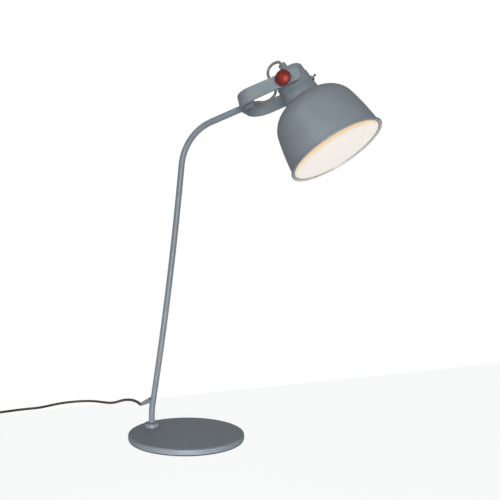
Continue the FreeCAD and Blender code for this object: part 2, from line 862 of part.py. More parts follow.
def make_housing():
    """The round casing that the yoke grips: a tapered tube with a boss on each side."""
    body = new_body("housing", HEAD)
    add_turned(body, "housing_tube", [
        (S.housing_foot_radius - S.housing_wall, housing_foot),
        (S.housing_foot_radius, housing_foot),
        (housing_top_radius, housing_top),
        (housing_top_bore, housing_top),
    ])
    boss = new_sketch(body, "boss_outline", "XZ_Plane", boss_root)
    add_circle(boss, (-S.axis_ahead, 0), S.boss_radius)
    near_boss = add_pad(body, "near_boss", boss, boss_face - boss_root)
    add_mirrored(body, "far_boss", near_boss, "XZ_Plane")
    bore = new_sketch(body, "boss_bore_outline")
    add_circle(bore, (-S.axis_ahead, 0), S.knob_stud_radius + S.thread_play)
    add_pocket(body, "boss_bores", bore, symmetric=True)
    hole = new_sketch(body, "switch_hole_outline", "YZ_Plane")
    add_circle(hole, (0, -S.switch_below_hinge), S.switch_bush_radius + S.slip_play)
    add_pocket(body, "switch_hole", hole, forwards=True)
    add_fillet(body, "housing_rounded", S.housing_round, ring_edge((housing_top_radius, housing_top)))
    foot = ring_edge((S.housing_foot_radius, housing_foot))
    add_fillet(body, "housing_foot_rounded", S.housing_foot_round, foot)


def make_housing_cap():
    """The domed lid that plugs into the housing's top."""
    skirt = housing_top_bore - S.slip_play
    skirt_foot = housing_top - S.cap_skirt
    top = cap_foot_radius - S.cap_draft
    inside = skirt - S.cap_wall
    cap = turned("housing_cap", [
        (inside, skirt_foot),
        (skirt, skirt_foot),
        (skirt, housing_top),
        (cap_foot_radius, housing_top),
        (top, cap_top),
        (S.nipple_radius + S.slip_play, cap_top),
        (S.nipple_radius + S.slip_play, cap_top - S.cap_wall),
        (inside, cap_top - S.cap_wall),
    ], HEAD)
    add_fillet(cap, "cap_rounded", S.cap_round, ring_edge((top, cap_top)))


def make_neck_collar():
    collar = turned("neck_collar", [
        (neck_bore, crown_top),
        (neck_foot_radius, crown_top),
        (neck_top_radius, housing_foot),
        (neck_bore, housing_foot),
    ], HEAD)
    add_fillet(collar, "neck_rounded", S.neck_round, ring_edge((neck_top_radius, housing_foot)))


# ---- head: shade and diffuser ----

# the sloped ring outside the flat crown, and the middle of the shoulder's arc that follows it
slope_edge = S.shade_crown_radius + S.shade_slope_length * cosine(S.shade_slope_angle)
slope_foot = crown_top - S.shade_slope_length * sine(S.shade_slope_angle)
shoulder_across = slope_edge - S.shade_shoulder_radius * sine(S.shade_slope_angle)
shoulder_up = slope_foot - S.shade_shoulder_radius * cosine(S.shade_slope_angle)
wall_cosine = cosine(S.shade_shoulder_angle)
wall_sine = sine(S.shade_shoulder_angle)
shoulder_inside = S.shade_shoulder_radius - S.shade_sheet
flare_inside = S.shade_flare_radius - S.shade_sheet
# the middle of the wall's long arc, which meets the shoulder's arc at its slope
flare_across = shoulder_across + (S.shade_shoulder_radius - S.shade_flare_radius) * wall_cosine
flare_up = shoulder_up + (S.shade_shoulder_radius - S.shade_flare_radius) * wall_sine
rim_height = flare_up + S.shade_flare_radius * sine(S.shade_rim_angle)
rim_radius = flare_across + S.shade_flare_radius * cosine(S.shade_rim_angle)


def shade_bore(height):
    """The inside radius of the shade's wall at a height."""
    drop = height - flare_up
    return flare_across + square_root(flare_inside * flare_inside - drop * drop)


def make_shade():
    """The spun bell: a crown, a round shoulder, a wall that flares to the rim, and a rolled bead."""
    body = new_body("shade", HEAD)
    hole = S.holder_radius + S.slip_play
    shoulder = S.shade_shoulder_radius
    tilt_cosine = cosine(S.shade_slope_angle)
    tilt_sine = sine(S.shade_slope_angle)
    crown_inside = S.shade_crown_radius - S.shade_sheet * (1 - tilt_cosine) / tilt_sine
    add_turned(body, "shade_wall", [
        (hole, crown_top),
        (S.shade_crown_radius, crown_top),
        (slope_edge, slope_foot),
        (shoulder_across + shoulder * wall_cosine, shoulder_up + shoulder * wall_sine),
        (rim_radius, rim_height),
        (shade_bore(rim_height), rim_height),
        (shoulder_across + shoulder_inside * wall_cosine, shoulder_up + shoulder_inside * wall_sine),
        (shoulder_across + shoulder_inside * tilt_sine, shoulder_up + shoulder_inside * tilt_cosine),
        (crown_inside, crown_top - S.shade_sheet),
        (hole, crown_top - S.shade_sheet),
    ], {
        2: (shoulder, "right"),
        3: (S.shade_flare_radius, "right"),
        5: (flare_inside, "left"),
        6: (shoulder_inside, "left"),
    })
    bead = new_sketch(body, "bead_profile")
    add_circle(bead, (rim_radius + S.bead_offset, rim_height), S.bead_radius)
    spin(body, "rolled_bead", bead)


def make_diffuser():
    """The disc across the shade's mouth and the wire ring that holds it up."""
    foot = rim_height - S.bead_radius + S.diffuser_recess
    top = foot + S.diffuser_thickness
    rod("diffuser", shade_bore(top) - S.slip_play, foot, top, HEAD)
    ring_height = foot - S.diffuser_ring_radius - S.face_play
    ring_path = shade_bore(ring_height) - S.diffuser_ring_radius - S.slip_play
    ring = document.addObject("Part::Torus", "diffuser_ring")
    ring.setExpression("Radius1", ring_path.text)
    ring.setExpression("Radius2", S.diffuser_ring_radius.text)
    ring.Placement = HEAD * Placement(Vector(0, 0, ring_height.value), Rotation())
    pieces.append(ring)


# ---- head: lampholder and bulb ----

holder_foot = crown_top - S.holder_below_crown
holder_top = holder_foot + S.holder_barrel_length
core_foot = holder_top - S.core_thickness
cap_ceiling = cap_top - S.cap_wall
bulb_tip = core_foot - S.contact_length
bulb_cap_foot = bulb_tip - S.bulb_cap_length


def make_lampholder():
    """The barrel, its contact core and shell, the dome that closes it, and the ring that nips the shade."""
    socket = S.bulb_cap_radius + S.slip_play
    pocket = S.core_radius + S.slip_play
    turned("holder_barrel", [
        (socket + S.shell_wall + S.slip_play, holder_foot),
        (S.holder_radius, holder_foot),
        (S.holder_radius, holder_top),
        (pocket, holder_top),
        (pocket, core_foot),
        (socket + S.shell_wall + S.slip_play, core_foot),
    ], HEAD)
    tube("holder_shell", socket + S.shell_wall, socket, core_foot - S.bulb_cap_length, core_foot, HEAD)
    turned("holder_core", [
        (0, bulb_tip),
        (S.contact_radius, bulb_tip),
        (S.contact_radius, core_foot),
        (S.core_radius, core_foot),
        (S.core_radius, holder_top),
        (0, holder_top),
    ], HEAD)
    neck_foot = cap_ceiling - S.dome_neck_length
    thread = S.nipple_radius + S.thread_play
    turned("holder_dome", [
        (S.holder_radius - S.dome_wall, holder_top),
        (S.holder_radius, holder_top),
        (S.dome_neck_radius, neck_foot),
        (S.dome_neck_radius, cap_ceiling),
        (thread, cap_ceiling),
        (thread, neck_foot - S.dome_neck_wall_drop),
    ], HEAD)
    ring_top = crown_top - S.shade_sheet
    tube("shade_ring", S.shade_ring_radius, S.holder_radius + S.thread_play,
         ring_top - S.shade_ring_thickness, ring_top, HEAD)


def make_bulb():
    """A small round bulb with a screw cap."""
    turned("bulb_cap", [
        (0, bulb_tip),
        (S.contact_radius, bulb_tip),
        (S.bulb_cap_radius, bulb_tip - S.contact_radius),
        (S.bulb_cap_radius, bulb_cap_foot),
        (0, bulb_cap_foot),
    ], HEAD)
    shoulder = bulb_cap_foot - S.bulb_neck_length
    drop = square_root(S.bulb_radius * S.bulb_radius - S.bulb_shoulder_radius * S.bulb_shoulder_radius)
    middle = shoulder - drop
    turned("bulb_globe", [
        (0, bulb_cap_foot),
        (S.bulb_foot_radius, bulb_cap_foot),
        (S.bulb_shoulder_radius, shoulder),
        (S.bulb_radius, middle),
        (0, middle - S.bulb_radius),
    ], HEAD, {2: (S.bulb_radius, "right"), 3: (S.bulb_radius, "right")})


# ---- head: cable entry ----

grip_top = cap_top + S.grip_length
nipple_top = cap_top + S.grip_thread


def make_cable_entry():
    """The nipple through the cap, and the slotted grip on it that holds the lead with a side screw."""
    nipple_foot = cap_ceiling - S.nipple_below_cap
    tube("holder_nipple", S.nipple_radius, S.nipple_radius - S.nipple_wall, nipple_foot, nipple_top, HEAD)
    thread = S.nipple_radius + S.thread_play
    lead_hole = S.lead_radius + S.slip_play
    grip = turned("cable_grip", [
        (thread, cap_top),
        (S.grip_radius, cap_top),
        (S.grip_radius, grip_top),
        (lead_hole, grip_top),
        (lead_hole, nipple_top + S.face_play),
        (thread, nipple_top + S.face_play),
    ], HEAD)
    half = S.grip_slot / 2
    slot_foot = grip_top - S.grip_slot_depth
    for role in ("XZ_Plane", "YZ_Plane"):
        slot = new_sketch(grip, "grip_slot_outline_" + role, role)
        add_outline(slot, [(-half, slot_foot), (half, slot_foot), (half, grip_top), (-half, grip_top)])
        add_pocket(grip, "grip_slot_" + role, slot, symmetric=True)
    screw_height = cap_top + S.grip_screw_height
    hole = new_sketch(grip, "grip_screw_hole_outline", "YZ_Plane")
    add_circle(hole, (0, screw_height), S.grip_screw_radius + S.thread_play)
    add_pocket(grip, "grip_screw_hole", hole)
    sideways = HEAD * Placement(Vector(0, 0, screw_height.value), Rotation(Vector(0, 1, 0), -90))
    head_seat = S.grip_radius + S.face_play
    head_top = head_seat + S.grip_screw_head_rise
    turned("grip_screw", [
        (0, lead_hole),
        (S.grip_screw_radius, lead_hole),
        (S.grip_screw_radius, head_seat),
        (S.grip_screw_head, head_seat),
        (S.grip_screw_head, head_top),
        (0, head_top),
    ], sideways)
    rod("holder_wires", S.lead_radius, holder_top, grip_top - S.lead_in_grip, HEAD)


# ---- head: switch ----


def make_switch():
    """A toggle: a block inside the wall, a bush through it, a ring nut, and a lever on a cross pin."""
    place = HEAD * Placement(Vector(0, 0, -S.switch_below_hinge.value), Rotation(Vector(0, 1, 0), 90))
    half_width = S.switch_width / 2
    block_top = S.switch_tall / 2 - S.switch_below_hinge
    wall_inside = S.housing_foot_radius - S.housing_wall - wall_slope * (block_top + S.housing_below_hinge)
    block_front = square_root(wall_inside * wall_inside - half_width * half_width) - S.switch_clearance
    block_back = S.holder_radius + S.switch_clearance
    block = document.addObject("Part::Box", "switch_body")
    block.setExpression("Length", S.switch_tall.text)
    block.setExpression("Width", S.switch_width.text)
    block.setExpression("Height", (block_front - block_back).text)
    block.Placement = place * Placement(
        Vector(-S.switch_tall.value / 2, -half_width.value, block_back.value), Rotation()
    )
    pieces.append(block)
    mouth = S.housing_foot_radius + S.switch_bush_reach
    pivot = S.housing_foot_radius - S.lever_pivot_depth
    bush = tube("switch_bush", S.switch_bush_radius, S.switch_bush_bore, block_front, mouth, place)
    pin_hole = new_sketch(bush, "lever_pin_hole_outline")
    add_circle(pin_hole, (0, pivot), S.lever_pin_radius + S.thread_play)
    add_pocket(bush, "lever_pin_hole", pin_hole, symmetric=True)
    across = place * Placement(Vector(0, 0, pivot.value), Rotation(Vector(1, 0, 0), 90))
    pin_end = S.switch_bush_radius - S.slip_play
    rod("lever_pin", S.lever_pin_radius, -pin_end, pin_end, across)
    nut_foot = S.housing_foot_radius + S.face_play
    nut_bore = S.switch_bush_radius + S.thread_play
    tube("switch_nut", S.switch_nut_radius, nut_bore, nut_foot, nut_foot + S.switch_nut_thickness, place)
    ball = S.switch_bush_bore - S.slip_play
    neck, tip, reach = S.lever_neck_radius, S.lever_tip_radius, S.lever_length
    tilt = Placement(Vector(0, 0, pivot.value), Rotation(Vector(0, 1, 0), -S.lever_angle.value))
    lever = turned("switch_lever", [
        (0, -ball),
        (ball, 0),
        (neck, square_root(ball * ball - neck * neck)),
        (neck, reach - square_root(tip * tip - neck * neck)),
        (tip, reach),
        (0, reach + tip),
    ], place * tilt, {0: (ball, "left"), 1: (ball, "left"), 3: (tip, "left"), 4: (tip, "left")})
    bore = new_sketch(lever, "lever_bore_outline")
    add_circle(bore, (0, 0), S.lever_pin_radius + S.thread_play)
    add_pocket(lever, "lever_bore", bore, symmetric=True)


# ---- knobs ----

spring_washer_foot = yoke_outside + S.face_play / 2
knob_back = spring_washer_foot + S.spring_washer_thickness + S.face_play


def side_frame(side):
    """The head's hinge axis with Z pointing out of one side: 1 near, -1 far."""
    return PIVOT * Placement(Vector(), Rotation(Vector(1, 0, 0), 90 * side))


def make_knob(name, side):
    """A domed knob on a short hub, and the stud in its blind bore that clamps the yoke to the boss."""
    rise = S.knob_height - S.knob_rim
    dome = (S.knob_radius * S.knob_radius + rise * rise) / (2 * rise)
    bore = S.knob_stud_radius + S.thread_play
    bore_end = knob_back + S.knob_bore_depth
    head_back = knob_back + S.knob_hub_length
    turned(name + "_knob", [
        (bore, knob_back),
        (S.knob_hub_radius, knob_back),
        (S.knob_hub_radius, head_back),
        (S.knob_radius, head_back),
        (S.knob_radius, head_back + S.knob_rim),
        (0, head_back + S.knob_height),
        (0, bore_end),
        (bore, bore_end),
    ], side_frame(side), {4: (dome, "left")})
    rod(name + "_knob_stud", S.knob_stud_radius, boss_root, bore_end, side_frame(side))


def make_pivot_washers(name, side):
    """A friction washer inside the yoke's arm, and a spring washer under the knob."""
    hole = S.knob_stud_radius + S.slip_play
    inner_foot = boss_face + S.face_play
    tube(name + "_friction_washer", S.friction_washer_radius, hole,
         inner_foot, inner_foot + S.friction_washer_thickness, side_frame(side))
    tube(name + "_spring_washer", S.spring_washer_radius, hole,
         spring_washer_foot, spring_washer_foot + S.spring_washer_thickness, side_frame(side))


# ---- cables ----


def make_head_lead():
    """The lead's open loop, from the sleeve's mouth over the yoke and down into the grip."""
    sleeve_mouth = S.sleeve_length - S.yoke_back
    start = YOKE.multVec(Vector(sleeve_mouth.value, 0, 0))
    ahead = YOKE.multVec(Vector((sleeve_mouth + S.lead_first_run).value, 0, 0))
    above = HEAD.multVec(Vector(0, 0, (grip_top + S.lead_in_grip).value))
    end = HEAD.multVec(Vector(0, 0, (grip_top - S.lead_in_grip).value))
    route = [start, ahead] + [cap_back + Vector(*point) for point in LEAD_ROUTE] + [above, end]
    cable("head_lead", rounded_route("head_lead", route), S.lead_radius)


def make_mains_cord():
    """The free cord: its laid stretch, and its wound-up end as one ring with a tie round it."""
    tip = GLAND.multVec(Vector(0, 0, S.gland_reach.value))
    ahead = GLAND.multVec(Vector(0, 0, (S.gland_reach + S.cord_first_run).value))
    route = [tip, ahead] + [STEM_FOOT.multVec(Vector(*point)) for point in CORD_ROUTE]
    cable("mains_cord", rounded_route("mains_cord", route), S.cord_radius)
    middle = STEM_FOOT * Placement(Vector(*COIL_MIDDLE, 0), Rotation())
    half = S.coil_section / 2
    inner, outer = S.coil_middle_radius - half, S.coil_middle_radius + half
    foot = S.tie_thickness
    top = foot + S.coil_section
    coil = tube("cord_coil", outer, inner, foot, top, middle)
    corners = [(radius, height) for radius in (inner, outer) for height in (foot, top)]
    add_fillet(coil, "coil_rounded", S.coil_round, ring_edge(*corners))
    across = Rotation(Vector(0, 0, 1), TIE_ANGLE)
    tie = new_body("cord_tie", middle * Placement(Vector(), across))
    band = new_sketch(tie, "tie_outline")
    gap = S.tie_thickness
    outer_band = [(inner - gap, 0), (outer + gap, 0), (outer + gap, top + gap), (inner - gap, top + gap)]
    inner_band = [(inner, foot), (outer, foot), (outer, top), (inner, top)]
    add_outline(band, outer_band)
    add_outline(band, inner_band)
    add_pad(tie, "tie_band", band, S.tie_width, symmetric=True)


def coil_exit():
    """Where the cord's last turn leaves the ring clockwise, and its heading there."""
    turn = math.radians(COIL_EXIT_ANGLE)
    radius = S.coil_middle_radius.value + S.coil_section.value / 2 - S.cord_radius.value
    place = STEM_FOOT.multVec(Vector(
        COIL_MIDDLE[0] + radius * math.cos(turn),
        COIL_MIDDLE[1] + radius * math.sin(turn),
        S.cord_radius.value + S.cord_lift.value,
    ))
    return place, Vector(math.sin(turn), -math.cos(turn), 0)


def is_plug_edge(edge):
    """Picks the plug block's edges on its two faces."""
    return abs(abs(edge.CenterOfMass.z) - S.plug_thickness.value / 2) < NEAR


def make_plug():
    """A flat two-pin plug beside the coil, with a tapered relief, and the cord's short end to it."""
    start, along = coil_exit()
    lift = Vector(0, 0, S.plug_thickness.value / 2 - start.z)
    rear = start + along * S.cord_tail.value + lift
    frame = Placement(rear, Rotation(Vector(1, 0, 0), along))
    relief_end = S.plug_relief_length
    front = relief_end + S.plug_length
    shoulder = relief_end + S.plug_shoulder
    half, rear_half = S.plug_width / 2, S.plug_rear_width / 2
    body = new_body("plug_body", frame)
    outline = new_sketch(body, "plug_outline", "XY_Plane")
    add_outline(outline, [
        (relief_end, -rear_half),
        (shoulder, -half),
        (front, -half),
        (front, half),
        (shoulder, half),
        (relief_end, rear_half),
    ])
    add_pad(body, "plug_block", outline, S.plug_thickness, symmetric=True)
    add_fillet(body, "plug_rounded", S.plug_round, is_plug_edge)
    backwards = frame * Placement(Vector(), Rotation(Vector(0, 1, 0), 90))
    turned("plug_relief", [
        (0, as_size(0)),
        (S.plug_relief_radius, as_size(0)),
        (rear_half - S.plug_relief_inset, relief_end),
        (0, relief_end),
    ], backwards)
    pins = []
    for offset in (-S.pin_pitch / 2, S.pin_pitch / 2):
        pin = document.addObject("Part::Cylinder", "plug_pin")
        pin.setExpression("Radius", S.pin_radius.text)
        pin.setExpression("Height", S.pin_length.text)
        pin.Placement = backwards * Placement(Vector(0, offset.value, front.value), Rotation())
        pins.append(pin)
    pair = document.addObject("Part::Compound", "plug_pins")
    pair.Links = pins
    pieces.append(pair)
    third = along * (S.cord_tail.value / 3)
    cable("cord_end", rounded_route("cord_end", [start, start + third, rear - third, rear]), S.cord_radius)


# ---- the whole lamp ----

make_base_pad()
make_base_plate()
make_stem_fixing()
make_stem_collar()
make_stem()
make_cord_gland()
make_stem_cable()
make_yoke_strap()
make_yoke_fixing()
make_housing()
make_housing_cap()
make_neck_collar()
make_shade()
make_diffuser()
make_lampholder()
make_bulb()
make_cable_entry()
make_switch()
for side_name, side_sign in (("near", 1), ("far", -1)):
    make_knob(side_name, side_sign)
    make_pivot_washers(side_name, side_sign)
make_head_lead()
make_mains_cord()
make_plug()
document.recompute()

for item in document.Objects:
    if "Invalid" in item.State or "Error" in item.State:
        raise ValueError(f"{item.Name} failed: {item.State}")
for piece in pieces:
    if piece.Shape.isNull() or not piece.Shape.isValid():
        raise ValueError(f"{piece.Label} has no valid shape")

os.makedirs("parts", exist_ok=True)
for piece in pieces:
    piece.Shape.exportStep(f"parts/{piece.Label}.step")
print(len(pieces), "pieces")
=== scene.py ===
import math

import bmesh
import bpy
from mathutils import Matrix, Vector


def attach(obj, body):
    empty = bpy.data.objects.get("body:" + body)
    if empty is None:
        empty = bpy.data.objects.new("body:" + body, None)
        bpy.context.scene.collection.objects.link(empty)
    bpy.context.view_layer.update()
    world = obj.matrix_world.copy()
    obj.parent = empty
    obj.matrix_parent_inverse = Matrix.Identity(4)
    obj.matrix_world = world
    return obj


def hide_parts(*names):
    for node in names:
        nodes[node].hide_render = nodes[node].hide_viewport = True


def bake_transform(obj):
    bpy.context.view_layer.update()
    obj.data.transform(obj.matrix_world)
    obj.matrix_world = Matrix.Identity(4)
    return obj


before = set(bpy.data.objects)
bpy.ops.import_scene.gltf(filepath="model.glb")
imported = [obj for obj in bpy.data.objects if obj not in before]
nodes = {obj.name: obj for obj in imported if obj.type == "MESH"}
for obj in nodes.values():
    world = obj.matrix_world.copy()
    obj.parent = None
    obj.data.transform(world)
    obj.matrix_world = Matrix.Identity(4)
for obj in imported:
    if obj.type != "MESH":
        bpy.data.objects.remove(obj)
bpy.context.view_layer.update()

# ---- The view ----
# The lamp is seen from the front of its left side, a little below the head, with the stem's foot
# at the left. The lens is level, so that the lamp's uprights stay upright, and its frame is slid
# sideways and up.

eye = Vector((0.4586, -0.7722, 0.2618))
looking = Vector((-0.4938, 0.8696, -0.005))
camera_data = bpy.data.cameras.new("view_camera")
camera_data.sensor_width = 36.0
camera_data.lens = 41.55
camera_data.shift_x = 0.105
camera_data.shift_y = 0.0455
camera_data.clip_start = 0.01
camera = bpy.data.objects.new("view_camera", camera_data)
camera.location = eye
camera.rotation_euler = looking.to_track_quat("-Z", "Y").to_euler()
bpy.context.scene.collection.objects.link(camera)
bpy.context.scene.camera = camera
bpy.context.scene.view_settings.view_transform = "Standard"

# ---- Mains cord ----
# A round two-core cord, 4.5 mm thick, in a dark brown PVC sheath, 1.8 m long from the gland on
# the stem to its plug. It drops to the table and bows away to the left, and its spare length is
# wound into a coil of eight turns and a part of one, three wide and three high.

CORD_THICKNESS = 0.0045
stem_foot = Vector((-0.0646, 0.0, 0.0))
gland_tip = Vector((-0.0836644, 0.0, 0.0434894))
gland_heading = Vector((-0.8910065, 0.0, -0.4539905))
CORD_FIRST_RUN = 0.004
# the cord's laid stretch, measured from the stem's foot
cord_route = [
    (-0.0294, 0.0050, 0.0430),
    (-0.0426, 0.0135, 0.0431),
    (-0.0639, 0.0280, 0.0399),
    (-0.0920, 0.0485, 0.0323),
    (-0.1182, 0.0690, 0.0230),
    (-0.1419, 0.0890, 0.0143),
    (-0.1721, 0.1125, 0.0048),
    (-0.1944, 0.1192, 0.0023),
    (-0.2196, 0.1182, 0.0023),
    (-0.2427, 0.1031, 0.0023),
    (-0.2608, 0.0769, 0.0023),
    (-0.2669, 0.0487, 0.0023),
    (-0.2709, 0.0235, 0.0023),
    (-0.2840, 0.0074, 0.0023),
    (-0.2951, -0.0107, 0.0023),
    (-0.3110, -0.0435, 0.0023),
]
coil_middle = stem_foot + Vector((-0.3526, -0.0509, 0.0))
WHOLE_TURNS = 8
COIL_RADII = (0.0205, 0.025, 0.0295)
COIL_HEIGHTS = (0.0023, 0.0068, 0.0113)
# the places in the coil's section that the turns take in order: layer outwards, layer upwards
COIL_ORDER = [(2, 0), (1, 0), (0, 0), (0, 1), (0, 2), (1, 2), (1, 1), (2, 1), (2, 2)]
COIL_START = -33.4
COIL_END = -145.0
POINTS_PER_TURN = 24
PLUG_AXIS_HEIGHT = 0.00685
CORD_TAIL = 0.036
TAIL_BEND = 0.35


def coil_place(turned):
    """The radius and height of the cord's middle, that many degrees round the coil.

    In every turn the cord steps over to its next place within a window of its own.
    """
    shared = COIL_START - COIL_END
    window = (360.0 - shared) / WHOLE_TURNS
    turn = min(int(turned // 360.0), WHOLE_TURNS)
    window_start = shared + (WHOLE_TURNS - 1 - turn) * window
    over = min(max((turned - 360.0 * turn - window_start) / window, 0.0), 1.0)
    over = over * over * (3 - 2 * over)
    first = COIL_ORDER[turn]
    last = COIL_ORDER[min(turn + 1, WHOLE_TURNS)]
    radius = COIL_RADII[first[0]] * (1 - over) + COIL_RADII[last[0]] * over
    height = COIL_HEIGHTS[first[1]] * (1 - over) + COIL_HEIGHTS[last[1]] * over
    return radius, height


cord_points = [gland_tip, gland_tip + gland_heading * CORD_FIRST_RUN]
cord_points += [stem_foot + Vector(point) for point in cord_route]
whole_turn = WHOLE_TURNS * 360.0 + COIL_START - COIL_END
count = round(whole_turn / 360.0 * POINTS_PER_TURN)
# where its points stand on a circle, a spline of order 3 reaches this share of their radius
runs_inside = 0.25 * math.cos(math.radians(whole_turn / count)) + 0.75
for number in range(1, count + 1):
    turned = whole_turn * number / count
    radius, height = coil_place(turned)
    angle = math.radians(COIL_START - turned)
    outwards = Vector((math.cos(angle), math.sin(angle), 0.0))
    cord_points.append(coil_middle + outwards * (radius / runs_inside) + Vector((0.0, 0.0, height)))
exit_angle = math.radians(COIL_END)
exit_side = Vector((math.cos(exit_angle), math.sin(exit_angle), 0.0))
plug_heading = Vector((exit_side.y, -exit_side.x, 0.0))
coil_exit = coil_middle + exit_side * COIL_RADII[2]
plug_rear = coil_exit + plug_heading * CORD_TAIL + Vector((0.0, 0.0, PLUG_AXIS_HEIGHT))
cord_points.append(plug_rear - plug_heading * CORD_TAIL * TAIL_BEND)
cord_points.append(plug_rear)


def smooth_line(name, points, thickness):
    """One NURBS spline, with a round section of that thickness or none."""
    data = bpy.data.curves.new(name, "CURVE")
    data.dimensions = "3D"
    data.bevel_depth = thickness / 2
    data.bevel_resolution = 6
    data.use_fill_caps = thickness > 0
    data.resolution_u = 8
    spline = data.splines.new("NURBS")
    spline.points.add(len(points) - 1)
    for spot, point in zip(spline.points, points):
        spot.co = (*point, 1.0)
    spline.order_u = 3
    spline.use_endpoint_u = True
    spline.use_smooth = True
    piece = bpy.data.objects.new(name, data)
    bpy.context.scene.collection.objects.link(piece)
    return piece


flex = smooth_line("flex", cord_points, CORD_THICKNESS)


def new_finish(name):
    """A material with its node tree, its Principled shader and the object's own coordinates."""
    material = bpy.data.materials.new(name)
    material.use_nodes = True
    tree = material.node_tree
    shader = tree.nodes["Principled BSDF"]
    coordinates = tree.nodes.new("ShaderNodeTexCoord")
    return material, tree, shader, coordinates.outputs["Object"]


def add_noise(tree, where, size, detail=2.0):
    """Noise whose lumps are about size metres across."""
    mapping = tree.nodes.new("ShaderNodeMapping")
    mapping.inputs["Scale"].default_value = (1.0 / size, 1.0 / size, 1.0 / size)
    noise = tree.nodes.new("ShaderNodeTexNoise")
    noise.inputs["Scale"].default_value = 1.0
    noise.inputs["Detail"].default_value = detail
    tree.links.new(where, mapping.inputs["Vector"])
    tree.links.new(mapping.outputs["Vector"], noise.inputs["Vector"])
    return noise.outputs["Fac"]


def add_ramp(tree, value, stops):
    """Colours or greys along a value, as (place, colour) or (place, (grey,)) stops."""
    ramp = tree.nodes.new("ShaderNodeValToRGB")
    elements = ramp.color_ramp.elements
    while len(elements) < len(stops):
        elements.new(0.5)
    for element, (place, colour) in zip(elements, stops):
        element.position = place
        element.color = (*colour, 1.0) if len(colour) == 3 else (*(colour * 3), 1.0)
    tree.links.new(value, ramp.inputs["Fac"])
    return ramp.outputs["Color"]


def add_drift(tree, noise, low, high):
    """Goes softly from one colour or grey to the other over the middle of the noise's range."""
    return add_ramp(tree, noise, [(0.3, low), (0.7, high)])


def add_gloss(tree, shader, where, patches, shiny, dull, detail=3.0):
    """Roughness that drifts between two values over patches of that size."""
    drift = add_drift(tree, add_noise(tree, where, patches, detail), (shiny,), (dull,))
    tree.links.new(drift, shader.inputs["Roughness"])


def add_bump(tree, shader, value, height):
    """Raises the surface by up to height metres where value is 1."""
    bump = tree.nodes.new("ShaderNodeBump")
    bump.inputs["Distance"].default_value = height
    tree.links.new(value, bump.inputs["Height"])
    tree.links.new(bump.outputs["Normal"], shader.inputs["Normal"])


def toned(colour, factor):
    """A colour made lighter or darker."""
    return tuple(channel * factor for channel in colour)


def plain_finish(name, colour, patches, contrast, gloss, grain, depth, metal=0.0):
    """One colour that drifts over patches, drifting gloss and a fine grain raised by depth."""
    material, tree, shader, where = new_finish(name)
    cloud = add_noise(tree, where, patches, 4.0)
    drift = add_drift(tree, cloud, toned(colour, 1 - contrast), toned(colour, 1 + contrast))
    tree.links.new(drift, shader.inputs["Base Color"])
    add_gloss(tree, shader, where, patches / 3, *gloss)
    shader.inputs["Metallic"].default_value = metal
    add_bump(tree, shader, add_noise(tree, where, grain), depth)
    return material


cord_sheath = plain_finish(
    "cord_sheath", (0.078, 0.058, 0.043), 0.012, 0.28, (0.40, 0.56), 0.0006, 0.00004
)
flex.data.materials.append(cord_sheath)
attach(flex, "stand")
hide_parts("mains_cord", "cord_coil", "cord_end")

# ---- Coil tie and plug ----
# A black woven strap goes once round one side of the coil and keeps its turns together.
# The plug is a flat two-pin one, moulded in dark PVC with its tapered relief, and its pins are
# nickel-plated brass.


def dress(material, *named):
    """Gives CAD nodes their finish."""
    for node in named:
        nodes[node].data.materials.clear()
        nodes[node].data.materials.append(material)


moulded_plug = plain_finish(
    "moulded_plug", (0.055, 0.044, 0.037), 0.006, 0.18, (0.42, 0.55), 0.0004, 0.00003
)
dress(moulded_plug, "plug_body", "plug_relief")

STRAP_BLACKS = [(0.2, (0.012, 0.012, 0.013)), (0.8, (0.045, 0.045, 0.048))]
strap_weave, tree, shader, where = new_finish("strap_weave")
threads = tree.nodes.new("ShaderNodeTexWave")
threads.inputs["Scale"].default_value = 420.0
threads.inputs["Distortion"].default_value = 0.4
tree.links.new(where, threads.inputs["Vector"])
woven = threads.outputs["Fac"]
tree.links.new(add_ramp(tree, woven, STRAP_BLACKS), shader.inputs["Base Color"])
shader.inputs["Roughness"].default_value = 0.8
add_bump(tree, shader, woven, 0.00015)
dress(strap_weave, "cord_tie")

nickel = plain_finish(
    "nickel", (0.62, 0.60, 0.56), 0.004, 0.08, (0.18, 0.30), 0.0003, 0.000004, metal=1.0
)
dress(nickel, "plug_pins")

# ---- Base plate and pad ----
# A flat steel disc, 180 mm across and nearly 8 mm thick, with rounded edges, sprayed with satin
# grey lacquer. A thin black foam rubber pad is stuck on its underside, a millimetre in from the
# edge.

LACQUER = (0.235, 0.273, 0.308)
LACQUER_METAL = 0.15
LACQUER_PATCHES = 0.025
ORANGE_PEEL = 0.0011


def lacquer_colour(tree, where, colour):
    """The lacquer's colour, very slightly clouded."""
    cloud = add_noise(tree, where, LACQUER_PATCHES, 3.0)
    return add_drift(tree, cloud, toned(colour, 0.965), toned(colour, 1.035))


def lacquer_skin(tree, shader, where):
    """The lacquer's satin gloss and its faint orange peel."""
    add_gloss(tree, shader, where, 0.006, 0.44, 0.52)
    add_bump(tree, shader, add_noise(tree, where, ORANGE_PEEL), 0.00001)


def lacquer_finish(name, colour):
    """Sprayed satin lacquer with a little aluminium in it."""
    material, tree, shader, where = new_finish(name)
    tree.links.new(lacquer_colour(tree, where, colour), shader.inputs["Base Color"])
    shader.inputs["Metallic"].default_value = LACQUER_METAL
    lacquer_skin(tree, shader, where)
    return material


grey_lacquer = lacquer_finish("grey_lacquer", LACQUER)
# the base gets a copy of the same lacquer made 3% darker: painted shade, not a different paint
base_lacquer_painted_shade = lacquer_finish("base_lacquer_painted_shade", toned(LACQUER, 0.97))
dress(base_lacquer_painted_shade, "base_plate")
foam_rubber = plain_finish(
    "foam_rubber", (0.012, 0.012, 0.012), 0.003, 0.2, (0.75, 0.9), 0.0008, 0.0001
)
dress(foam_rubber, "base_pad")

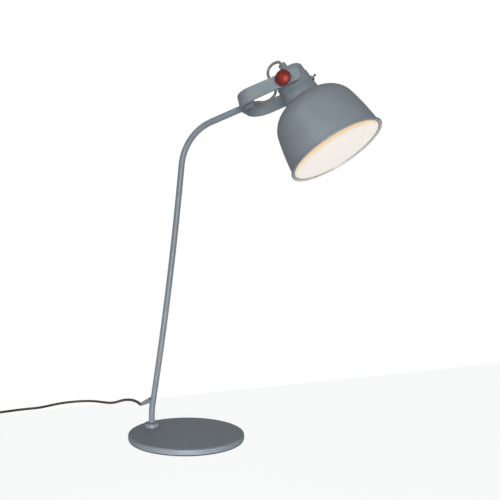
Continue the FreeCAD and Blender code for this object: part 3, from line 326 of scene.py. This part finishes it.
# ---- Stem and its foot ----
# A bent steel tube, 9.5 mm across, stands in a turned collar and is held by a stud, washer and
# nut from below. Tube and collar are sprayed with the same satin grey as the rest of the lamp,
# and the fastenings are zinc-plated.

zinc = plain_finish(
    "zinc_plate", (0.52, 0.52, 0.50), 0.003, 0.12, (0.28, 0.45), 0.0005, 0.00001, metal=1.0
)
dress(grey_lacquer, "stem_tube", "stem_collar")
dress(zinc, "stem_stud", "stud_washer", "stud_nut")

# ---- Cord gland ----
# A tapered plastic strain relief, coloured as the lacquer. Its neck goes through a hole low in
# the stem's back, its cone sits on the tube like a saddle, and the cord comes out of its tip.

gland_plastic = plain_finish(
    "gland_plastic", toned(LACQUER, 0.95), 0.008, 0.06, (0.38, 0.48), 0.0005, 0.00002
)
dress(gland_plastic, "cord_gland")

# ---- Yoke ----
# A steel strap bent to a U, with a long sleeve nut that clamps it on the arm's threaded nipple
# over a toothed washer. Both are lacquered with the stem. The cable inside the stem comes out of
# the sleeve's mouth.

dress(grey_lacquer, "yoke_strap", "sleeve_nut")
dress(zinc, "arm_nipple", "tooth_washer")

# ---- Head lead ----
# The cable from the stem crosses the yoke to the back of the head in a free loop, so that the
# head can tilt. It is 4 mm thick and sheathed in a braid of grey and brown threads, half of them
# wound to the left and half to the right, which gives it its fine ribs and glints.

LEAD_THICKNESS = 0.004
LEAD_ROUND = 32
LEAD_STEP = 0.00032
THREADS = 8
THREAD_PITCH = 0.0115
THREAD_DEPTH = 0.00016
THREAD_EDGE = 0.2
lead_route = [
    (0.115309, 0.0, 0.504612),
    (0.119666, 0.0, 0.505739),
    (0.1280, 0.0, 0.5032),
    (0.1385, 0.0, 0.5047),
    (0.1464, 0.0, 0.5101),
    (0.1493, 0.0, 0.5188),
    (0.1435, 0.0, 0.5288),
    (0.1370, 0.0, 0.5386),
    (0.1359, 0.0, 0.5478),
    (0.1417, 0.0, 0.5556),
    (0.1499, 0.0, 0.5578),
    (0.1550, 0.0, 0.5570),
    (0.1602, 0.0, 0.5484),
]
route = smooth_line("lead_route", lead_route, 0.0)
bpy.context.view_layer.update()
line = bpy.data.meshes.new_from_object(route)
line_points = [vertex.co.copy() for vertex in line.vertices]
bpy.data.objects.remove(route)


def even_steps(points, step):
    """Points about a step apart along a line, each with its distance and heading."""
    runs = [(b - a).length for a, b in zip(points, points[1:])]
    whole = sum(runs)
    steps = max(2, round(whole / step))
    found = []
    run = 0
    passed = 0.0
    for number in range(steps + 1):
        along = whole * number / steps
        while run < len(runs) - 1 and passed + runs[run] < along:
            passed += runs[run]
            run += 1
        share = min(max((along - passed) / runs[run], 0.0), 1.0)
        found.append((points[run].lerp(points[run + 1], share), along))
    headings = []
    for number in range(len(found)):
        before = found[max(number - 2, 0)][0]
        after = found[min(number + 2, len(found) - 1)][0]
        headings.append((after - before).normalized())
    placed = [(place, along, heading) for (place, along), heading in zip(found, headings)]
    return placed, whole


lead_steps, lead_whole = even_steps(line_points, LEAD_STEP)
braided = bmesh.new()
thread_values = []
rings = []
side = Vector((0.0, 1.0, 0.0))
for place, along, heading in lead_steps:
    up = side.cross(heading).normalized()
    twist = 2 * math.pi * along / THREAD_PITCH
    ring = []
    for number in range(LEAD_ROUND):
        angle = 2 * math.pi * number / LEAD_ROUND
        left_hand = math.cos(THREADS / 2 * (angle + twist))
        right_hand = math.cos(THREADS / 2 * (angle - twist))
        raised = max(left_hand, right_hand)
        radius = LEAD_THICKNESS / 2 - THREAD_DEPTH * (1 - raised)
        outwards = side * math.cos(angle) + up * math.sin(angle)
        ring.append(braided.verts.new(place + outwards * radius))
        # between the threads the value stays 0, which the braid's colours turn into near-black
        # painted shade
        on_thread = raised > THREAD_EDGE
        thread_values.append(0.5 + 0.25 * left_hand - 0.25 * right_hand if on_thread else 0.0)
    rings.append(ring)
for first, second in zip(rings, rings[1:]):
    for number in range(LEAD_ROUND):
        after = (number + 1) % LEAD_ROUND
        braided.faces.new([first[number], first[after], second[after], second[number]])
braided.faces.new(list(reversed(rings[0])))
braided.faces.new(rings[-1])
bmesh.ops.recalc_face_normals(braided, faces=braided.faces)
lead_mesh = bpy.data.meshes.new("braided_lead")
braided.to_mesh(lead_mesh)
braided.free()
for face in lead_mesh.polygons:
    face.use_smooth = True
thread = lead_mesh.attributes.new("thread", "FLOAT", "POINT")
thread.data.foreach_set("value", thread_values)
lead = bpy.data.objects.new("braided_lead", lead_mesh)
bpy.context.scene.collection.objects.link(lead)

# from painted shade in the gaps between the threads, over the brown right-hand ones, to the grey
# left-hand ones
BRAID_AND_GAP_SHADE_COLOURS = [
    (0.0, (0.016, 0.013, 0.011)),
    (0.25, (0.16, 0.135, 0.110)),
    (0.5, (0.42, 0.40, 0.365)),
    (0.85, (0.72, 0.70, 0.665)),
]
braid, tree, shader, where = new_finish("lead_braid")
thread_of = tree.nodes.new("ShaderNodeAttribute")
thread_of.attribute_name = "thread"
braid_colour = add_ramp(tree, thread_of.outputs["Fac"], BRAID_AND_GAP_SHADE_COLOURS)
tree.links.new(braid_colour, shader.inputs["Base Color"])
shader.inputs["Metallic"].default_value = 0.45
shader.inputs["Roughness"].default_value = 0.30
add_bump(tree, shader, add_noise(tree, where, 0.0003), 0.00003)
lead_mesh.materials.append(braid)
# the stem cable and the holder's wires carry no thread values, so they take the gaps' near-black
# painted shade all over
dress(braid, "stem_cable", "holder_wires")
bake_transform(lead)
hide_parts("head_lead")

# ---- Head housing ----
# Three spun and turned steel parts, sprayed with the same satin grey: the housing between the
# yoke's arms, the cap on its back and the neck collar that carries the shade. Fine grooves part
# them.

dress(grey_lacquer, "housing", "housing_cap", "neck_collar")

# ---- Cable grip ----
# A threaded nipple comes up through the cap and carries the lamp holder below it. A small slotted
# grip of grey plastic is screwed on it, and its side screw keeps a pull off the wires inside.

dress(gland_plastic, "cable_grip")
dress(zinc, "grip_screw", "holder_nipple")

# ---- Switch ----
# A small toggle switch sits in a hole through the housing's front wall, held by a nut on its
# threaded bush. Its body inside is moulded in black, and its bush, nut and lever are plated with
# dark nickel.

black_moulding = plain_finish(
    "black_moulding", (0.016, 0.016, 0.017), 0.005, 0.25, (0.30, 0.45), 0.0005, 0.00002
)
dress(black_moulding, "switch_body")
dark_nickel = plain_finish(
    "dark_nickel", (0.20, 0.20, 0.20), 0.003, 0.10, (0.26, 0.38), 0.0003, 0.000005, metal=0.8
)
dress(dark_nickel, "switch_bush", "switch_nut", "switch_lever")
dress(zinc, "lever_pin")

# ---- Clamp knobs ----
# A domed knob on each side of the yoke is turned by hand to lock the head's tilt. It is spun
# aluminium, lacquered dark red over the metal, on a zinc-plated stud with a spring washer and a
# plastic friction washer.

RED_FLAKES = [(0.35, (0.26, 0.036, 0.027)), (0.65, (0.34, 0.052, 0.040))]
knob_red, tree, shader, where = new_finish("knob_red")
flakes = add_noise(tree, where, 0.0005)
tree.links.new(add_ramp(tree, flakes, RED_FLAKES), shader.inputs["Base Color"])
add_gloss(tree, shader, where, 0.004, 0.46, 0.54)
shader.inputs["Metallic"].default_value = 0.75
add_bump(tree, shader, flakes, 0.000008)
dress(knob_red, "near_knob", "far_knob")
dress(zinc, "near_knob_stud", "far_knob_stud", "near_spring_washer", "far_spring_washer")
dress(gland_plastic, "near_friction_washer", "far_friction_washer")

# ---- Shade ----
# A bell of spun steel, a millimetre thick, hangs on the neck collar with its edge rolled into a
# round bead. It is sprayed satin grey outside and white inside, where it throws the light down.

head_axis = Vector((-0.5165334, 0.0, 0.8562661))
shade_top = Vector((0.1766910, 0.0, 0.5211200))


def vector_step(tree, operation, first, second=None):
    """One step of vector arithmetic. The second value is a socket, plain numbers or nothing."""
    step = tree.nodes.new("ShaderNodeVectorMath")
    step.operation = operation
    tree.links.new(first, step.inputs[0])
    if isinstance(second, bpy.types.NodeSocket):
        tree.links.new(second, step.inputs[1])
    elif second is not None:
        step.inputs[1].default_value = second
    return step.outputs["Value" if operation in ("DOT_PRODUCT", "LENGTH") else "Vector"]


def times(tree, value, factor):
    """A value multiplied by a plain number."""
    step = tree.nodes.new("ShaderNodeMath")
    step.operation = "MULTIPLY"
    step.inputs[1].default_value = factor
    tree.links.new(value, step.inputs[0])
    return step.outputs[0]


def mixed_colour(tree, share, first, second):
    """The first colour where share is 0 and the second where it is 1."""
    mix = tree.nodes.new("ShaderNodeMix")
    mix.data_type = "RGBA"
    tree.links.new(share, mix.inputs["Factor"])
    for socket, colour in ((mix.inputs[6], first), (mix.inputs[7], second)):
        if isinstance(colour, bpy.types.NodeSocket):
            tree.links.new(colour, socket)
        else:
            socket.default_value = (*colour, 1.0)
    return mix.outputs[2]


shade_lacquer, tree, shader, where = new_finish("shade_lacquer")
from_top = vector_step(tree, "SUBTRACT", where, shade_top)
along_axis = vector_step(tree, "PROJECT", from_top, head_axis)
outward = vector_step(tree, "NORMALIZE", vector_step(tree, "SUBTRACT", from_top, along_axis))
facing = next(node for node in tree.nodes if node.type == "TEX_COORD").outputs["Normal"]
outside = vector_step(tree, "DOT_PRODUCT", outward, facing)
painted = add_ramp(tree, outside, [(0.0, (0.0,)), (0.02, (1.0,))])
grey_paint = lacquer_colour(tree, where, LACQUER)
white_cloud = add_noise(tree, where, LACQUER_PATCHES, 3.0)
white_paint = add_drift(tree, white_cloud, (0.78, 0.77, 0.75), (0.84, 0.83, 0.81))
shade_colour = mixed_colour(tree, painted, white_paint, grey_paint)
tree.links.new(shade_colour, shader.inputs["Base Color"])
tree.links.new(times(tree, painted, LACQUER_METAL), shader.inputs["Metallic"])
lacquer_skin(tree, shader, where)
dress(shade_lacquer, "shade")

# ---- Diffuser ----
# A flat disc of opal acrylic closes the shade's mouth, a little inside the bead, on a thin
# zinc-plated spring ring. The lamp behind makes it glow, and a crescent of painted warm light
# is laid along one edge, in both its colour and its glow.

disc_middle = shade_top - head_axis * 0.1131
DISC_RADIUS = 0.0649
# the side of the disc on which the warm light is painted
painted_light_side = Vector((0.118, -0.990, 0.071))
PAINTED_CRESCENT_SHIFT = 0.027
PAINTED_WARM_TINT = (0.78, 0.58, 0.34)
PALE_GLOW = (1.0, 0.93, 0.87)
PAINTED_WARM_GLOW = (1.0, 0.72, 0.42)
GLOW_STRENGTH = 0.42
opal, tree, shader, where = new_finish("opal_acrylic")
# the painted warm light is a crescent, left by a circle that is slid away from the side it is
# painted on
from_circle = vector_step(tree, "SUBTRACT", where, disc_middle - painted_light_side * PAINTED_CRESCENT_SHIFT)
far_out = times(tree, vector_step(tree, "LENGTH", from_circle), 0.5 / DISC_RADIUS)
painted_warm_crescent = add_ramp(tree, far_out, [(0.50, (0.0,)), (0.60, (1.0,))])
cloud = add_noise(tree, where, 0.03, 3.0)
milk = add_drift(tree, cloud, (0.80, 0.755, 0.70), (0.83, 0.785, 0.735))
# both the acrylic's colour and its glow turn warm on the crescent of painted light
tree.links.new(mixed_colour(tree, painted_warm_crescent, milk, PAINTED_WARM_TINT), shader.inputs["Base Color"])
tree.links.new(mixed_colour(tree, painted_warm_crescent, PALE_GLOW, PAINTED_WARM_GLOW), shader.inputs["Emission Color"])
shader.inputs["Emission Strength"].default_value = GLOW_STRENGTH
add_gloss(tree, shader, where, 0.008, 0.34, 0.42, detail=2.0)
dress(opal, "diffuser")
dress(zinc, "diffuser_ring")

# ---- Lamp holder and bulb ----
# An E14 holder hangs in the housing on its nipple: a black moulded dome, barrel and shade ring
# round a glazed ceramic core with its pressed brass shell. The bulb is a small milk-glass globe
# with a nickel-plated cap.

dress(black_moulding, "holder_dome", "holder_barrel", "shade_ring")
glazed_ceramic = plain_finish(
    "glazed_ceramic", (0.74, 0.72, 0.68), 0.004, 0.04, (0.12, 0.22), 0.001, 0.00001
)
dress(glazed_ceramic, "holder_core")
pressed_brass = plain_finish(
    "pressed_brass", (0.60, 0.42, 0.16), 0.003, 0.10, (0.22, 0.35), 0.0004, 0.00001, metal=1.0
)
dress(pressed_brass, "holder_shell")
dress(nickel, "bulb_cap")
milk_glass = plain_finish(
    "milk_glass", (0.84, 0.83, 0.80), 0.006, 0.02, (0.10, 0.16), 0.002, 0.000005
)
dress(milk_glass, "bulb_globe")

# ---- Table top and light ----
# A plain pale table ends at a line behind the lamp, in front of a white backdrop. A large soft
# lamp stands beside the viewer, two small ones reach the head and the base's edge, a wide one
# stands behind, and the room adds an even, weaker light.

line_left = Vector((-0.3730, -0.0450, 0.0))
line_far = Vector((0.397681, 1.057127, 0.0))
line_along = (line_far - line_left).normalized()
line_near = Vector((line_along.y, -line_along.x, 0.0))
past_view = Vector((line_left.x - eye.x, line_left.y - eye.y, 0.0)).normalized()
TABLE_RIGHT = 5.0
TABLE_NEAR = 4.0
TABLE_LEFT = 3.0
TABLE_GAP = 0.0002
floor_mesh = bpy.data.meshes.new("table_top")
table = bmesh.new()
corner = table.verts.new(line_left)
right_back = table.verts.new(line_left + line_along * TABLE_RIGHT)
right_front = table.verts.new(line_left + line_along * TABLE_RIGHT + line_near * TABLE_NEAR)
middle_front = table.verts.new(line_left + line_near * TABLE_NEAR)
left_back = table.verts.new(line_left + past_view * TABLE_LEFT)
left_front = table.verts.new(line_left - line_along * TABLE_LEFT + line_near * TABLE_NEAR)
table.faces.new([right_front, right_back, corner, middle_front])
table.faces.new([middle_front, corner, left_back, left_front])
table.to_mesh(floor_mesh)
table.free()
floor = bpy.data.objects.new("table_top", floor_mesh)
bpy.context.scene.collection.objects.link(floor)
floor.location.z = -TABLE_GAP

# to the camera the table is mostly plain white, with a tenth of its own shading and shadow
TABLE_WHITE = (0.93, 0.95, 0.94)
TABLE_PLAIN = (0.992, 1.0, 0.998)
PLAIN_SHARE = 0.9
table_white, tree, shader, where = new_finish("table_white")
shader.inputs["Base Color"].default_value = (*TABLE_WHITE, 1.0)
shader.inputs["Roughness"].default_value = 0.9
shader.inputs["Specular IOR Level"].default_value = 0.1
glow = tree.nodes.new("ShaderNodeEmission")
glow.inputs["Color"].default_value = (*TABLE_PLAIN, 1.0)
mix = tree.nodes.new("ShaderNodeMixShader")
path = tree.nodes.new("ShaderNodeLightPath")
plain_to_camera = times(tree, path.outputs["Is Camera Ray"], PLAIN_SHARE)
tree.links.new(plain_to_camera, mix.inputs["Fac"])
tree.links.new(shader.outputs[0], mix.inputs[1])
tree.links.new(glow.outputs[0], mix.inputs[2])
tree.links.new(mix.outputs[0], tree.nodes["Material Output"].inputs["Surface"])
floor.data.materials.append(table_white)

ROOM_LIGHT = 0.285
world = bpy.data.worlds.new("room")
bpy.context.scene.world = world
world.use_nodes = True
tree = world.node_tree
background = tree.nodes["Background"]
background.inputs["Color"].default_value = (1.0, 1.0, 1.0, 1.0)
path = tree.nodes.new("ShaderNodeLightPath")
white_to_camera = tree.nodes.new("ShaderNodeMath")
white_to_camera.operation = "MULTIPLY_ADD"
white_to_camera.inputs[1].default_value = 1.0 - ROOM_LIGHT
white_to_camera.inputs[2].default_value = ROOM_LIGHT
white_to_camera.use_clamp = True
tree.links.new(path.outputs["Is Camera Ray"], white_to_camera.inputs[0])
tree.links.new(white_to_camera.outputs[0], background.inputs["Strength"])

NARROW_GRID = math.radians(40)


def add_softbox(name, size, power, place, aim, spread=math.pi):
    """A square soft lamp that points at aim, with its light kept within spread by a grid."""
    data = bpy.data.lights.new(name, "AREA")
    data.size = size
    data.energy = power
    data.spread = spread
    light = bpy.data.objects.new(name, data)
    light.location = place
    light.rotation_euler = (Vector(aim) - Vector(place)).to_track_quat("-Z", "Y").to_euler()
    light.visible_camera = False
    bpy.context.scene.collection.objects.link(light)
    return light


add_softbox("front_softbox", 0.6, 10.8, (0.85, -1.15, 0.35), (0.1, 0.0, 0.3))
add_softbox("side_softbox", 0.20, 0.11, (-0.35, -1.20, 1.05), (0.2, 0.0, 0.48), NARROW_GRID)
add_softbox("low_softbox", 0.10, 0.17, (0.40, -0.75, 0.05), (0.0, 0.0, 0.005), NARROW_GRID)
back_softbox = add_softbox("back_softbox", 0.8, 6.0, (-0.70, 1.25, 0.30), (0.05, 0.0, 0.30))
back_softbox.visible_glossy = False
